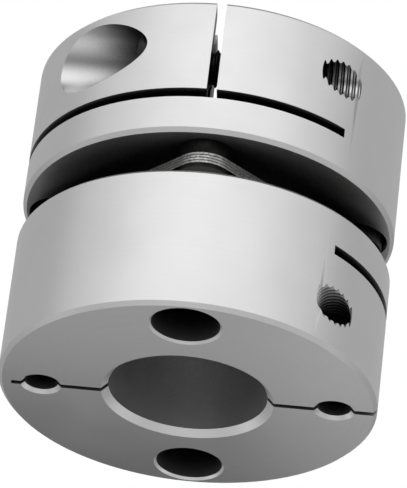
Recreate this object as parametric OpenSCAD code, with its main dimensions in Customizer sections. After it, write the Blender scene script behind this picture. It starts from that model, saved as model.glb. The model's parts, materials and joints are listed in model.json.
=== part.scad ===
// Single-disc shaft coupling with two clamping hubs.
// The shaft axis is +Z and the origin is the middle of the disc pack.
// Both hubs are the same part: the upper one is the lower one turned end for end, and clamped.

/* [Hubs] */
// Outer diameter of both hubs
hub_d = 19; // [18.8:0.1:20]
// Length of one hub along the shaft
hub_len = 7.6; // [7.4:0.1:8.4]
// Free gap between the two hubs
gap = 2.2; // [2:0.05:2.8]
// Diameter of the shaft bore
bore_d = 8; // [5:0.1:8.2]
// Chamfer at both ends of the shaft bore
bore_chamfer = 0.34; // [0.1:0.02:0.4]
// Chamfer around the rims of a hub
rim_chamfer = 0.2; // [0.1:0.05:0.25]

/* [Clamping ring] */
// Height of the ring that closes on the shaft, from the end face
ring_h = 5.15; // [4.8:0.05:5.3]
// Width of the saw cut that frees the ring from the hub's base
cross_cut_w = 0.5; // [0.3:0.05:0.6]
// Where the cross cut stops on the tapped side, in degrees from the slit
cross_cut_start = 44.5; // [35:0.5:50]
// How far round the hub the cross cut runs, in degrees
cross_cut_span = 217; // [200:1:220]
// Width of the lower hub's slits, which are open
lower_slit_w = 0.5; // [0.4:0.1:0.6]
// Width of the upper hub's slits, which its screw has drawn together
upper_slit_w = 0.34; // [0.34:0.02:0.42]
// Metal left outside the slit opposite, which bends as a hinge
hinge_wall = 0.66; // [0.4:0.02:0.8]

/* [Clamp screw] */
// Distance of the clamp screw from the shaft axis
clamp_off = 7; // [6.9:0.05:7.2]
// Distance of the clamp screw from the end face
clamp_z = 2.42; // [2.4:0.02:2.7]
// Distance of the screw head's seat from the slit plane
clamp_seat = 2; // [1.7:0.3:2]
// Diameter of the clamp screw's head
clamp_head_d = 3.1; // [2.9:0.1:3.1]
// Height of the clamp screw's head
clamp_head_h = 2; // [1.4:0.1:2]
// Length of the clamp screw under its head
clamp_len = 5.88; // [5.58:0.3:6.18]
// Diameter of the counterbore around the head
clamp_sink_d = 3.65; // [3.65:0.05:4]

/* [Disc pack] */
// Thickness of one leaf
leaf_t = 0.155; // [0.135:0.01:0.165]
// Radius of the circle that the disc screws lie on
pitch_r = 7.35; // [7.3:0.01:7.4]
// Radius of a leaf's rounded corners
leaf_corner_r = 1.5; // [1.4:0.05:1.6]
// Diameter of the hole in the middle of a leaf
leaf_hole_d = 9.6; // [9:0.1:9.8]
// Outer diameter of the washers and spacer collars
collar_d = 2.9; // [2.6:0.1:3]
// Thickness of a washer
washer_t = 0.25; // [0.2:0.05:0.3]

/* [Disc screws] */
// Diameter of a disc screw's head
disc_head_d = 3.1; // [2.9:0.1:3.1]
// Height of a disc screw's head
disc_head_h = 1.3; // [1:0.1:1.5]
// Length of a disc screw under its head
disc_len = 3.5; // [3.2:0.1:3.5]
// Diameter of the holes that the screw heads pass through
access_d = 3.4; // [3.3:0.05:3.5]
// Chamfer around those holes
access_chamfer = 0.12; // [0.06:0.02:0.16]
// Diameter of the small holes in the end face, in line with the hub's own disc screws
tap_drill_d = 1.7; // [1.6:0.05:1.9]
// Chamfer around the small holes
tap_chamfer = 0.18; // [0.1:0.02:0.24]

/* [Hidden] */

$fn = 96;
eps = 0.01;                 // overlap that keeps a cut from ending flush with a face
reach = 2 * hub_d;          // longer than anything that is cut
hub_r = hub_d / 2;
half_len = gap / 2 + hub_len;
leaf_count = 4;
pack_t = leaf_count * leaf_t;
spacer_h = (gap - pack_t) / 2;

// M2 thread, as rings: a crest flat, a 60 degree flank, a root flat and a flank
thread_p = 0.3;
crest_r = 0.96;
root_r = 0.82;
crest_flat = 0.05;
flank = (crest_r - root_r) * tan(30);
thread_fit = 0.04;          // running clearance between screw and tapped hole
shank_hole_d = 2.2;         // clearance hole through the head's side of the ring
collar_hole_d = 2.1;        // hole through leaves, washers and spacers
head_chamfer = 0.2;         // around the top of a screw head
clamp_hex_af = 1.5;         // across the flats of the clamp screw's socket
clamp_hex_depth = 1;
disc_hex_af = 1.3;          // across the flats of a disc screw's socket
disc_hex_depth = 0.7;
tap_past_clamp = 12;        // turns of thread that the tapped hole has past the clamp screw
tap_past_disc = 3;          // and past a disc screw

// One turn of the thread, from z upwards
function thread_turn(grow, z) = [
    [crest_r + grow, z],
    [crest_r + grow, z + crest_flat],
    [root_r + grow, z + crest_flat + flank],
    [root_r + grow, z + thread_p - flank]
];

// Outline of a ring thread with its axis on x = 0
function thread_outline(grow, turns) = concat(
    [[0, 0]],
    [for (i = [0 : turns - 1]) for (p = thread_turn(grow, i * thread_p)) p],
    [[crest_r + grow, turns * thread_p], [0, turns * thread_p]]
);

// Ring thread standing on z = 0; grow widens it into the cutter of a tapped hole
module thread(turns, grow = 0) {
    rotate_extrude()
        polygon(thread_outline(grow, turns));
}

// Solid round bar with a chamfer at its top edge
module chamfered_bar(d, h, chamfer) {
    rotate_extrude()
        polygon([[0, 0], [d / 2, 0], [d / 2, h - chamfer], [d / 2 - chamfer, h], [0, h]]);
}

// Socket head screw: the seat is z = 0, the head stands up and the shank hangs down
module socket_screw(head_d, head_h, len, hex_af, hex_depth) {
    turns = floor(len / thread_p);
    neck = len - turns * thread_p;
    difference() {
        chamfered_bar(head_d, head_h, head_chamfer);
        translate([0, 0, head_h - hex_depth])
            cylinder(h = hex_depth + eps, d = hex_af / cos(30), $fn = 6);
    }
    translate([0, 0, -neck - eps])
        cylinder(h = neck + 2 * eps, r = crest_r);
    translate([0, 0, -len])
        thread(turns);
}

// Hole along z from z = 0, with a countersunk edge at its mouth
module drilled(d, depth, chamfer) {
    translate([0, 0, -eps])
        cylinder(h = depth + 2 * eps, d = d);
    translate([0, 0, -eps])
        cylinder(h = chamfer + eps, r1 = d / 2 + chamfer + eps, r2 = d / 2);
}

// The blank of a hub: a disc with chamfered rims, standing on its end face
module hub_blank() {
    rotate_extrude()
        polygon([
            [0, 0], [hub_r - rim_chamfer, 0], [hub_r, rim_chamfer],
            [hub_r, hub_len - rim_chamfer], [hub_r - rim_chamfer, hub_len], [0, hub_len]
        ]);
}

// The shaft bore, countersunk at both ends
module shaft_bore() {
    drilled(bore_d, hub_len, bore_chamfer);
    translate([0, 0, hub_len])
        mirror([0, 0, 1])
            drilled(bore_d, bore_chamfer, bore_chamfer);
}

// The saw cut between ring and base, with one straight floor past the shaft bore
module cross_cut() {
    middle = cross_cut_start - cross_cut_span / 2;
    floor_off = hub_r * cos(cross_cut_span / 2);
    rotate([0, 0, -90 - middle])
        translate([floor_off, -reach / 2, ring_h])
            cube([reach, reach, cross_cut_w]);
}

// The two slits in line through the ring, open at the front and closed at the back
module slits(width) {
    top = ring_h + cross_cut_w / 2;
    translate([-width / 2, -reach, -eps])
        cube([width, reach, top + eps]);
    translate([-width / 2, 0, -eps])
        cube([width, hub_r - hinge_wall, ring_h + eps]);
}

// Tapped hole on one side of the slit, clearance hole and counterbore on the other
module clamp_screw_hole() {
    turns = tap_past_clamp + ceil(clamp_len / thread_p) - floor(clamp_seat / thread_p);
    translate([0, -clamp_off, clamp_z])
        rotate([0, 90, 0]) {
            translate([0, 0, clamp_seat - clamp_len - tap_past_clamp * thread_p])
                thread(turns, thread_fit);
            translate([0, 0, -eps])
                cylinder(h = clamp_seat + 2 * eps, d = shank_hole_d);
            translate([0, 0, clamp_seat])
                cylinder(h = reach, d = clamp_sink_d);
        }
}

// The hole of one of the hub's own disc screws: drilled through the ring, tapped in the base
module own_screw_hole() {
    below = washer_t + pack_t + spacer_h;
    tip = hub_len - (disc_len - below);
    turns = ceil((hub_len - tip) / thread_p) + tap_past_disc;
    drilled(tap_drill_d, tip, tap_chamfer);
    translate([0, 0, tip - thread_p])
        thread(turns, thread_fit);
}

// The hole that the other hub's disc screw is put in through
module access_hole() {
    drilled(access_d, hub_len, access_chamfer);
    translate([0, 0, hub_len])
        mirror([0, 0, 1])
            drilled(access_d, access_chamfer, access_chamfer);
}

// One hub, standing on its end face, with its slit at the front
module hub(slit_w) {
    difference() {
        hub_blank();
        shaft_bore();
        cross_cut();
        slits(slit_w);
        clamp_screw_hole();
        for (side = [-1, 1]) {
            translate([0, side * pitch_r, 0])
                own_screw_hole();
            translate([side * pitch_r, 0, 0])
                access_hole();
        }
    }
}

// Puts a hub's parts at the bottom end of the coupling
module at_lower_end() {
    translate([0, 0, -half_len])
        children();
}

// Puts a hub's parts at the top end, turned end for end with the slit to the left
module at_upper_end() {
    translate([0, 0, half_len])
        rotate([180, 0, 90])
            children();
}

module lower_hub() {
    color("silver")
        at_lower_end()
            hub(lower_slit_w);
}

module upper_hub() {
    color("silver")
        at_upper_end()
            hub(upper_slit_w);
}

// The clamp screw in its hub's place, with its head to the right of the slit
module clamp_screw() {
    translate([0, -clamp_off, clamp_z])
        rotate([0, 90, 0])
            translate([0, 0, clamp_seat])
                socket_screw(
                    clamp_head_d, clamp_head_h, clamp_len, clamp_hex_af, clamp_hex_depth
                );
}

module lower_clamp_screw() {
    color("dimgray")
        at_lower_end()
            clamp_screw();
}

module upper_clamp_screw() {
    color("dimgray")
        at_upper_end()
            clamp_screw();
}

// Outline of a leaf: a square standing on its corner, with round corners and a round middle
module leaf_outline() {
    flat = leaf_corner_r / sqrt(2);
    difference() {
        union() {
            for (a = [0 : 90 : 270])
                rotate(a)
                    translate([pitch_r, 0])
                        circle(r = leaf_corner_r);
            polygon([
                for (a = [0 : 90 : 270])
                    for (side = [-1, 1])
                        let (x = pitch_r + flat, y = side * flat)
                            [x * cos(a) - y * sin(a), x * sin(a) + y * cos(a)]
            ]);
        }
        circle(d = leaf_hole_d);
        for (a = [0 : 90 : 270])
            rotate(a)
                translate([pitch_r, 0])
                    circle(d = collar_hole_d);
    }
}

// One leaf of the disc pack, counted from the bottom
module leaf(number) {
    color("lightgray")
        translate([0, 0, -pack_t / 2 + (number - 1) * leaf_t])
            linear_extrude(leaf_t)
                leaf_outline();
}

// The screws of the lower hub stand at front and back, with their heads up
module lower_hub_place(side) {
    translate([0, side * pitch_r, 0])
        children();
}

// The screws of the upper hub stand at left and right, with their heads down
module upper_hub_place(side) {
    translate([side * pitch_r, 0, 0])
        mirror([0, 0, 1])
            children();
}

// One disc screw that clamps the pack from above
module disc_screw() {
    color("dimgray")
        translate([0, 0, pack_t / 2 + washer_t])
            socket_screw(disc_head_d, disc_head_h, disc_len, disc_hex_af, disc_hex_depth);
}

// A flat ring around a disc screw, from z upwards
module collar(z, h) {
    translate([0, 0, z])
        difference() {
            cylinder(h = h, d = collar_d);
            translate([0, 0, -eps])
                cylinder(h = h + 2 * eps, d = collar_hole_d);
        }
}

// The washer under a disc screw's head
module washer() {
    color("gray")
        collar(pack_t / 2, washer_t);
}

// The collar that holds the pack off the hub
module spacer() {
    color("gray")
        collar(-gap / 2, spacer_h);
}

lower_hub();
upper_hub();
lower_clamp_screw();
upper_clamp_screw();
leaf(1);  // disc_leaf_1
leaf(2);  // disc_leaf_2
leaf(3);  // disc_leaf_3
leaf(4);  // disc_leaf_4
lower_hub_place(-1) disc_screw();  // disc_screw_front
lower_hub_place(1) disc_screw();  // disc_screw_back
upper_hub_place(-1) disc_screw();  // disc_screw_left
upper_hub_place(1) disc_screw();  // disc_screw_right
lower_hub_place(-1) spacer();  // spacer_front
lower_hub_place(1) spacer();  // spacer_back
upper_hub_place(-1) spacer();  // spacer_left
upper_hub_place(1) spacer();  // spacer_right
lower_hub_place(-1) washer();  // washer_front
lower_hub_place(1) washer();  // washer_back
upper_hub_place(-1) washer();  // washer_left
upper_hub_place(1) washer();  // washer_right
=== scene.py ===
"""Looks of the disc coupling: finishes, edges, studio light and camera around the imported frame.

Lengths are in metres in the row's frame: +Z is the shaft axis and the coupling stands on its lower hub.
"""
import json
import math

import bpy
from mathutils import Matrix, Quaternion, Vector


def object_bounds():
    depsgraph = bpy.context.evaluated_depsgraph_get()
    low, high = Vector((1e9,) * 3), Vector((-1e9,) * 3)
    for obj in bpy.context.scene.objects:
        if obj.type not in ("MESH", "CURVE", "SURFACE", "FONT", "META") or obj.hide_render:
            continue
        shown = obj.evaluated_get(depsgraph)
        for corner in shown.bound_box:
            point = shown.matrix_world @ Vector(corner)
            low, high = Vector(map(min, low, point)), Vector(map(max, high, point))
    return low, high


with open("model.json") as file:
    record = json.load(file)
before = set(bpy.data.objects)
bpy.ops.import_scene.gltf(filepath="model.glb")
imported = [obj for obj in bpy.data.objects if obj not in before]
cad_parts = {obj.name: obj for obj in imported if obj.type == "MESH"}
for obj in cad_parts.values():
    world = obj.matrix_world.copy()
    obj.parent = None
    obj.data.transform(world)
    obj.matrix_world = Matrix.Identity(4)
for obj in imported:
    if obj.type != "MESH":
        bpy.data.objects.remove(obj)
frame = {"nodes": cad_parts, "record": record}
cad_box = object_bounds()

MM = 0.001

# Camera: a long lens from the front and above, held upside down. Angles are in degrees and the lens in mm.
AIM = Vector((0.12, 0.0, -0.15)) * MM
AZIMUTH = -3.96
ELEVATION = 29.61
DISTANCE = 215.5 * MM
ROLL = 187.0
LENS = 312.6
NEAR = 0.01
FAR = 10

# The white stage
FLOOR_R = 0.9
DOME_R = 0.95

# Edges: vertices closer than WELD are joined, and an edge sharper than SHARP degrees is broken
WELD = 1e-7
SHARP = 30
EDGE_STEPS = 2
# A corner is on a CAD face, and not on a broken edge, if its kept normal is this close to the face's own
SAME_FACE = 8
CAD_NORMAL = "cad_normal"


def direction(azimuth, elevation):
    """Unit vector from the object towards a place; azimuth 0 is the front (-Y) and 90 is +X."""
    a, e = math.radians(azimuth), math.radians(elevation)
    return Vector((math.sin(a) * math.cos(e), -math.cos(a) * math.cos(e), math.sin(e)))


def add_camera():
    """The camera at the photograph's viewing angle."""
    data = bpy.data.cameras.new("camera")
    data.lens = LENS
    data.clip_start = NEAR
    data.clip_end = FAR
    camera = bpy.data.objects.new("camera", data)
    bpy.context.scene.collection.objects.link(camera)
    back = direction(AZIMUTH, ELEVATION)
    camera.location = AIM + back * DISTANCE
    upright = (-back).to_track_quat("-Z", "Y")
    camera.rotation_mode = "QUATERNION"
    camera.rotation_quaternion = upright @ Quaternion((0, 0, 1), math.radians(ROLL))
    bpy.context.scene.camera = camera


class Tree:
    """A node tree with a short call for adding a node and setting its inputs."""

    def __init__(self, owner):
        owner.use_nodes = True
        self.nodes = owner.node_tree.nodes
        self.links = owner.node_tree.links
        self.nodes.clear()

    def add(self, kind, inputs=None, **settings):
        """Adds a node; an input is a value, or another node's output socket."""
        made = self.nodes.new(kind)
        for name, value in settings.items():
            setattr(made, name, value)
        for name, value in (inputs or {}).items():
            if isinstance(value, bpy.types.NodeSocket):
                self.links.new(value, made.inputs[name])
            else:
                made.inputs[name].default_value = value
        return made

    def math(self, operation, a, b=0.0):
        """One maths node's result."""
        return self.add("ShaderNodeMath", {0: a, 1: b}, operation=operation).outputs[0]

    def noise(self, vector, scale, detail=2.0, rough=0.5):
        """Noise from 0 to 1 at a scale per metre."""
        inputs = {"Vector": vector, "Scale": scale, "Detail": detail, "Roughness": rough}
        return self.add("ShaderNodeTexNoise", inputs).outputs["Fac"]

    def ramp(self, value, low, high, to_low, to_high):
        """Maps a value from one range to another, clamped."""
        inputs = {"Value": value, "From Min": low, "From Max": high, "To Min": to_low, "To Max": to_high}
        return self.add("ShaderNodeMapRange", inputs).outputs["Result"]

    def blend(self, factor, a, b):
        """Mixes two colours."""
        mixer = self.add("ShaderNodeMix", data_type="RGBA")
        for socket, value in zip((mixer.inputs[0], mixer.inputs[6], mixer.inputs[7]), (factor, a, b)):
            if isinstance(value, bpy.types.NodeSocket):
                self.links.new(value, socket)
            else:
                socket.default_value = value
        return mixer.outputs[2]

    def position(self):
        """A point's place in the object's own coordinates, in metres."""
        return self.add("ShaderNodeTexCoord").outputs["Object"]

    def stretched(self, vector, x, y, z):
        """A vector scaled along each axis."""
        inputs = {0: vector, 1: (x, y, z)}
        return self.add("ShaderNodeVectorMath", inputs, operation="MULTIPLY").outputs[0]


def grey(value, warm=0.0):
    """A grey with a little warmth."""
    return (value * (1 + warm), value, value * (1 - warm), 1)


def painted_recess_shade(tree, reach, dark, light):
    """How open the surface is: 0 deep in a hole or gap, and 1 in the open; the finishes use it to paint
    shade into holes and gaps.
    """
    around = tree.add("ShaderNodeAmbientOcclusion", {"Distance": reach}, samples=8)
    inputs = {"Value": around.outputs["AO"], "From Min": dark, "From Max": light}
    return tree.add("ShaderNodeMapRange", inputs, interpolation_type="SMOOTHSTEP").outputs["Result"]


def turned(tree, vector):
    """Coordinates that change with radius and height only, so that noise on them runs round the axis."""
    parts = tree.add("ShaderNodeSeparateXYZ", {0: vector})
    flat = tree.stretched(vector, 1, 1, 0)
    radius = tree.add("ShaderNodeVectorMath", {0: flat}, operation="LENGTH").outputs["Value"]
    return tree.add("ShaderNodeCombineXYZ", {0: radius, 1: parts.outputs["Z"]}).outputs[0]


def hub_alloy(tree):
    """Satin aluminium: fine turning lines under a clear, slightly cloudy anodised skin, with painted shade
    darkening holes, cuts and the gap between the hubs.
    """
    place = tree.position()
    lines = tree.noise(turned(tree, place), 14000, 3)
    cloud = tree.noise(place, 260, 3)
    grain = tree.noise(place, 22000, 2)
    shade = tree.math("ADD", tree.math("MULTIPLY", cloud, 0.6), tree.math("MULTIPLY", lines, 0.4))
    skin = tree.blend(tree.ramp(shade, 0.3, 0.7, 0, 1), grey(0.80), grey(0.86))
    # Painted shade: the colour fades to near black deep in holes, cuts and the gap between the hubs.
    colour = tree.blend(painted_recess_shade(tree, 8 * MM, 0.20, 0.64), grey(0.02), skin)
    rough = tree.ramp(shade, 0.3, 0.7, 0.40, 0.33)
    bump = tree.add("ShaderNodeBump", {"Height": lines, "Strength": 0.25, "Distance": 4e-6})
    fine = {"Height": grain, "Strength": 0.2, "Distance": 4e-6, "Normal": bump.outputs[0]}
    return {
        "Base Color": colour,
        "Roughness": rough,
        "Metallic": 0.9,
        "Normal": tree.add("ShaderNodeBump", fine).outputs[0],
    }


def screw_black(tree):
    """Black oxide on steel: nearly black, mottled, with a trace of oil."""
    place = tree.position()
    mottle = tree.noise(place, 2600, 4, 0.6)
    grain = tree.noise(place, 16000, 2)
    colour = tree.blend(tree.ramp(mottle, 0.35, 0.65, 0, 1), grey(0.006), grey(0.016, 0.05))
    bump = tree.add("ShaderNodeBump", {"Height": grain, "Strength": 0.3, "Distance": 5e-6})
    return {
        "Base Color": colour,
        "Roughness": tree.ramp(mottle, 0.3, 0.7, 0.30, 0.46),
        "Metallic": 0.3,
        "Normal": bump.outputs[0],
    }


def leaf_steel(tree):
    """Rolled spring steel, with its grain along the strip, a speckle from blanking, and painted shade
    darkening the grooves between the leaves.
    """
    place = tree.position()
    streak = tree.noise(tree.stretched(place, 1, 14, 14), 900, 3)
    speckle = tree.noise(place, 9000, 3, 0.7)
    shade = tree.math("ADD", tree.math("MULTIPLY", streak, 0.35), tree.math("MULTIPLY", speckle, 0.65))
    skin = tree.blend(tree.ramp(shade, 0.4, 0.62, 0, 1), grey(0.24, 0.01), grey(0.58, 0.01))
    # Painted shade: the colour fades to near black in the narrow grooves between the leaves.
    colour = tree.blend(painted_recess_shade(tree, 1.5 * MM, 0.15, 0.75), grey(0.01), skin)
    bump = tree.add("ShaderNodeBump", {"Height": shade, "Strength": 0.3, "Distance": 6e-6})
    return {
        "Base Color": colour,
        "Roughness": tree.ramp(shade, 0.3, 0.7, 0.40, 0.26),
        "Metallic": 1.0,
        "Normal": bump.outputs[0],
    }


def collar_steel(tree):
    """Blackened steel of the spacers and washers, turned and a little worn."""
    place = tree.position()
    wear = tree.noise(place, 1800, 4, 0.65)
    lines = tree.noise(place, 12000, 2)
    colour = tree.blend(tree.ramp(wear, 0.4, 0.7, 0, 1), grey(0.006), grey(0.02, 0.03))
    bump = tree.add("ShaderNodeBump", {"Height": lines, "Strength": 0.25, "Distance": 4e-6})
    return {
        "Base Color": colour,
        "Roughness": tree.ramp(wear, 0.3, 0.7, 0.42, 0.32),
        "Metallic": 0.85,
        "Normal": bump.outputs[0],
    }


FINISHES = {
    "hub_alloy": hub_alloy,
    "screw_black": screw_black,
    "leaf_steel": leaf_steel,
    "collar_steel": collar_steel,
}

# How wide an edge is broken
EDGES = {
    "hub_alloy": 0.03 * MM,
    "screw_black": 0.02 * MM,
    "leaf_steel": 0.04 * MM,
    "collar_steel": 0.02 * MM,
}


def finish_material(slot):
    """The material of one slot of the record."""
    made = bpy.data.materials.new(slot)
    tree = Tree(made)
    shader = tree.add("ShaderNodeBsdfPrincipled", FINISHES[slot](tree))
    tree.add("ShaderNodeOutputMaterial", {"Surface": shader.outputs[0]})
    return made


def mesh_step(name, kind, **settings):
    """A geometry node group of one mesh node, and the node."""
    group = bpy.data.node_groups.new(name, "GeometryNodeTree")
    for way in ("INPUT", "OUTPUT"):
        group.interface.new_socket("Mesh", in_out=way, socket_type="NodeSocketGeometry")
    step = group.nodes.new(kind)
    for setting, value in settings.items():
        setattr(step, setting, value)
    group.links.new(group.nodes.new("NodeGroupInput").outputs[0], step.inputs[0])
    group.links.new(step.outputs[0], group.nodes.new("NodeGroupOutput").inputs[0])
    return group, step


def normal_keeper():
    """A node group that stores the CAD's own normal at each corner of a face."""
    group, store = mesh_step(
        "keep_normals", "GeometryNodeStoreNamedAttribute", data_type="FLOAT_VECTOR", domain="CORNER"
    )
    store.inputs["Name"].default_value = CAD_NORMAL
    group.links.new(group.nodes.new("GeometryNodeInputNormal").outputs["Normal"], store.inputs["Value"])
    return group


def corner_on_cad_face(group, kept):
    """True where a stored normal is close to the normal of the face that the corner is on."""
    facing = group.nodes.new("ShaderNodeVectorMath")
    facing.operation = "DOT_PRODUCT"
    group.links.new(kept, facing.inputs[0])
    group.links.new(group.nodes.new("GeometryNodeInputNormal").outputs["True Normal"], facing.inputs[1])
    close = group.nodes.new("FunctionNodeCompare")
    close.operation = "GREATER_THAN"
    close.inputs["B"].default_value = math.cos(math.radians(SAME_FACE))
    group.links.new(facing.outputs["Value"], close.inputs["A"])
    return close.outputs["Result"]


def normal_setter():
    """A node group that puts the stored normals back, blended where an edge has been broken."""
    group, put = mesh_step("set_normals", "GeometryNodeSetMeshNormal", mode="FREE", domain="CORNER")
    stored = group.nodes.new("GeometryNodeInputNamedAttribute")
    stored.data_type = "FLOAT_VECTOR"
    stored.inputs["Name"].default_value = CAD_NORMAL
    kept = stored.outputs["Attribute"]
    blended = group.nodes.new("GeometryNodeFieldOnDomain")
    blended.data_type = "FLOAT_VECTOR"
    blended.domain = "POINT"
    group.links.new(kept, blended.inputs[0])
    chosen = group.nodes.new("GeometryNodeSwitch")
    chosen.input_type = "VECTOR"
    group.links.new(corner_on_cad_face(group, kept), chosen.inputs["Switch"])
    group.links.new(blended.outputs[0], chosen.inputs["False"])
    group.links.new(kept, chosen.inputs["True"])
    group.links.new(chosen.outputs[0], put.inputs["Custom Normal"])
    return group


def soften_edges(piece, width, keeper, setter):
    """Joins the split vertices and breaks every sharp edge with a narrow round, faces staying smooth."""
    piece.modifiers.new("keep_normals", "NODES").node_group = keeper
    piece.modifiers.new("weld", "WELD").merge_threshold = WELD
    bevel = piece.modifiers.new("edges", "BEVEL")
    bevel.width = width
    bevel.segments = EDGE_STEPS
    bevel.limit_method = "ANGLE"
    bevel.angle_limit = math.radians(SHARP)
    piece.modifiers.new("set_normals", "NODES").node_group = setter


def dress_nodes():
    """Gives every CAD node its slot's material and softened edges."""
    made = {slot: finish_material(slot) for slot in FINISHES}
    keeper = normal_keeper()
    setter = normal_setter()
    for part in frame["record"]["subparts"]:
        piece = frame["nodes"][part["node"]]
        slot = part["material_slot"]
        piece.data.materials.clear()
        piece.data.materials.append(made[slot])
        soften_edges(piece, EDGES[slot], keeper, setter)


def glow_material(name, strength):
    """Plain white light."""
    made = bpy.data.materials.new(name)
    tree = Tree(made)
    glow = tree.add("ShaderNodeEmission", {"Color": (1, 1, 1, 1), "Strength": strength})
    tree.add("ShaderNodeOutputMaterial", {"Surface": glow.outputs[0]})
    return made


def only_for_camera(piece):
    """The camera sees it, and it neither lights the object nor shades it."""
    piece.visible_diffuse = False
    piece.visible_glossy = False
    piece.visible_transmission = False
    piece.visible_volume_scatter = False
    piece.visible_shadow = False


def add_stage():
    """A white light table under a white dome."""
    white = glow_material("stage_white", 1.0)
    bpy.ops.mesh.primitive_circle_add(vertices=96, radius=FLOOR_R, fill_type="NGON")
    floor = bpy.context.object
    floor.name = "floor"
    floor.location.z = cad_box[0].z
    bpy.ops.mesh.primitive_uv_sphere_add(segments=64, ring_count=32, radius=DOME_R)
    dome = bpy.context.object
    dome.name = "dome"
    for piece in (floor, dome):
        piece.data.materials.append(white)
        only_for_camera(piece)


# A soft box is full within BOX_FULL degrees of its middle and has faded out at BOX_END
BOX_FULL = 8
BOX_END = 52
# Soft boxes round the object, in groups of one strength: azimuths, elevation, strength
SOFT_BOXES = [
    ((-40, 0, 40), -30, 0.7),
    ((-120, -80, 80, 120), -30, 0.25),
    ((-160, 160), -30, 0.3),
    ((-75, 0, 75), 60, 0.4),
    ((-120, 120), 30, 0.4),
]

# Light cards over the end face, in mm and watts: the place on the end face's plane (x, y) where a card's
# middle is reflected, its distance from there, its width and height, and its power
CARDS = [
    ((0, -21), 36, (60, 20), 0.0009),
    ((-16, 6), 45, (22, 22), 0.00035),
]


def add_soft_boxes():
    """Soft studio light from every side, brightest low in front, and tones shown as they are."""
    world = bpy.data.worlds.new("studio")
    bpy.context.scene.world = world
    tree = Tree(world)
    towards = tree.add("ShaderNodeTexCoord").outputs["Generated"]
    total = 0.0
    boxes = [(place, height, power) for places, height, power in SOFT_BOXES for place in places]
    for azimuth, elevation, strength in boxes:
        inputs = {0: towards, 1: direction(azimuth, elevation)}
        facing = tree.add("ShaderNodeVectorMath", inputs, operation="DOT_PRODUCT").outputs["Value"]
        angles = {
            "Value": facing,
            "From Min": math.cos(math.radians(BOX_END)),
            "From Max": math.cos(math.radians(BOX_FULL)),
            "To Max": strength,
        }
        box = tree.add("ShaderNodeMapRange", angles, interpolation_type="SMOOTHSTEP")
        total = tree.math("ADD", box.outputs["Result"], total)
    sky = tree.add("ShaderNodeBackground", {"Strength": total})
    tree.add("ShaderNodeOutputWorld", {"Surface": sky.outputs[0]})
    bpy.context.scene.view_settings.view_transform = "Standard"


def add_cards():
    """Light cards behind and above the end face, which lighten it most at its near edge."""
    away = direction(180 + AZIMUTH, ELEVATION)
    for (x, y), distance, (width, height), power in CARDS:
        data = bpy.data.lights.new("card", "AREA")
        data.shape = "ELLIPSE"
        data.size = width * MM
        data.size_y = height * MM
        data.energy = power
        card = bpy.data.objects.new("card", data)
        bpy.context.scene.collection.objects.link(card)
        card.location = Vector((x * MM, y * MM, cad_box[1].z)) + away * distance * MM
        card.rotation_mode = "QUATERNION"
        card.rotation_quaternion = away.to_track_quat("Z", "Y")
        card.visible_camera = False


add_camera()
add_stage()
add_soft_boxes()
add_cards()
dress_nodes()
